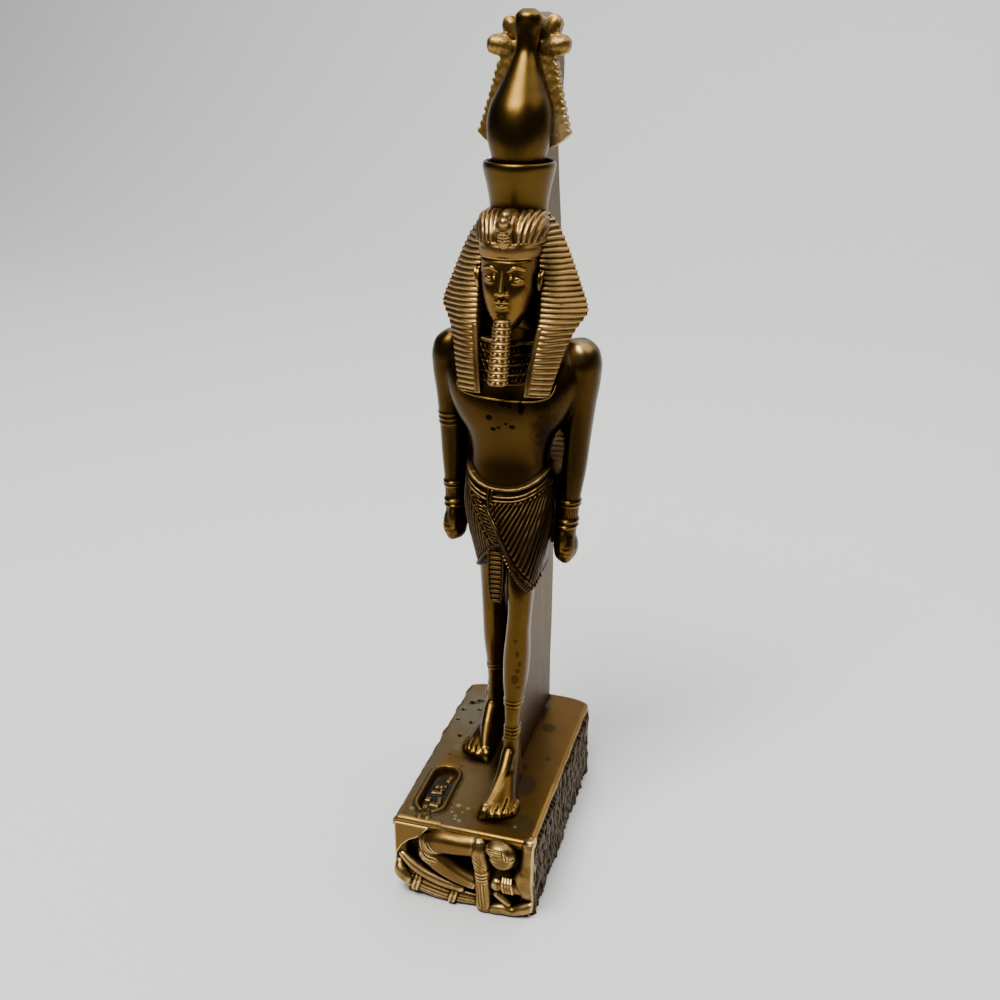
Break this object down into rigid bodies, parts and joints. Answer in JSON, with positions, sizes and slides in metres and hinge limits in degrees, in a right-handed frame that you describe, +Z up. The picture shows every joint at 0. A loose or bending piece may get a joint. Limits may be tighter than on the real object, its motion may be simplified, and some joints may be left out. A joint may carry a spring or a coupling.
{
  "type": "pharaoh statue",
  "caption": "Standing pharaoh figure striding before a back pillar, cast in one piece with an oblong relief-carved plinth, for display on a shelf or table",
  "frame": {"origin": "bottom centre of the plinth with its front relief", "axes": "+Z up along the figure, -Y the way the figure faces, +X to the figure's left"},
  "size_m": [0.0606, 0.0989, 0.3007],
  "materials": {
    "antique_brass": "satin, darkened in the hollows"
  },
  "bodies": {
    "root": {"pharaoh_statue": "antique_brass"}
  },
  "joints": []
}
